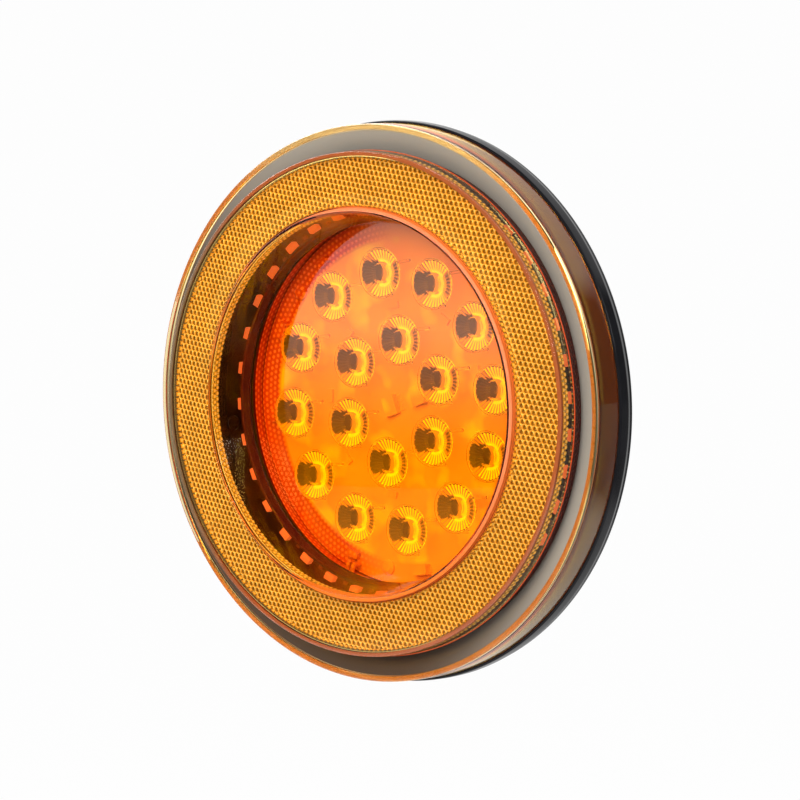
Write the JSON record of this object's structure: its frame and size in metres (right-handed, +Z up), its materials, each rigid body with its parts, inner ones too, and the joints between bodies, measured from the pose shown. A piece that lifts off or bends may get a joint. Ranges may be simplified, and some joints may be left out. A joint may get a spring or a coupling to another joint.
{
  "type": "trailer tail light",
  "caption": "Round sealed amber signal lamp for a trailer: a raised reflex ring round a recessed window over collimated lamps, on a black stud-mounted tub.",
  "frame": {"origin": "centre of the stud pattern on the mounting plane, which is the back of the rubber gasket", "axes": "+Y along the studs, away from the lamp's face and into the panel; +Z up; +X to the right of a person looking along +Y at the lamp's face"},
  "size_m": [0.1412, 0.0463, 0.1412],
  "materials": {
    "black_gloss": "polished black plastic",
    "black_matte": "moulded, fine texture",
    "black_rubber": "soft moulded rubber",
    "amber_skirt": "clear amber plastic, polished",
    "smoked_trim": "smoked metallised, satin bright",
    "amber_lens": "clear amber plastic, polished",
    "reflex_amber": "amber corner-cube pins, bright",
    "clear_optic": "polished clear optic",
    "lamp_package": "white package with a clear resin face",
    "white_board": "white solder mask, satin",
    "dark_board": "dark solder mask, satin",
    "chip_black": "moulded epoxy",
    "ceramic_tan": "fired ceramic with tinned ends",
    "zinc_steel": "bright zinc plate",
    "lead_red": "insulated lead"
  },
  "bodies": {
    "root": {"rear_housing": "black_gloss", "mounting_gasket": "black_rubber", "lens_seal": "black_rubber", "skirt_lens": "amber_skirt", "trim_ring": "smoked_trim", "front_lens": "amber_lens", "reflex_ring": "reflex_amber", "light_shield": "black_matte", "outer_collimators": "clear_optic", "inner_collimators": "clear_optic", "signal_leds": "lamp_package", "main_board": "white_board", "driver_chips": "chip_black", "main_resistors": "chip_black", "main_capacitors": "ceramic_tan", "main_diodes": "chip_black", "main_board_screws": "zinc_steel", "ring_board": "dark_board", "ring_leds": "lamp_package", "ring_resistors": "ceramic_tan", "ring_board_screws": "zinc_steel", "link_leads": "lead_red", "mounting_studs": "zinc_steel", "cable_grommet": "black_rubber", "vent_plug": "black_matte"}
  },
  "joints": []
}
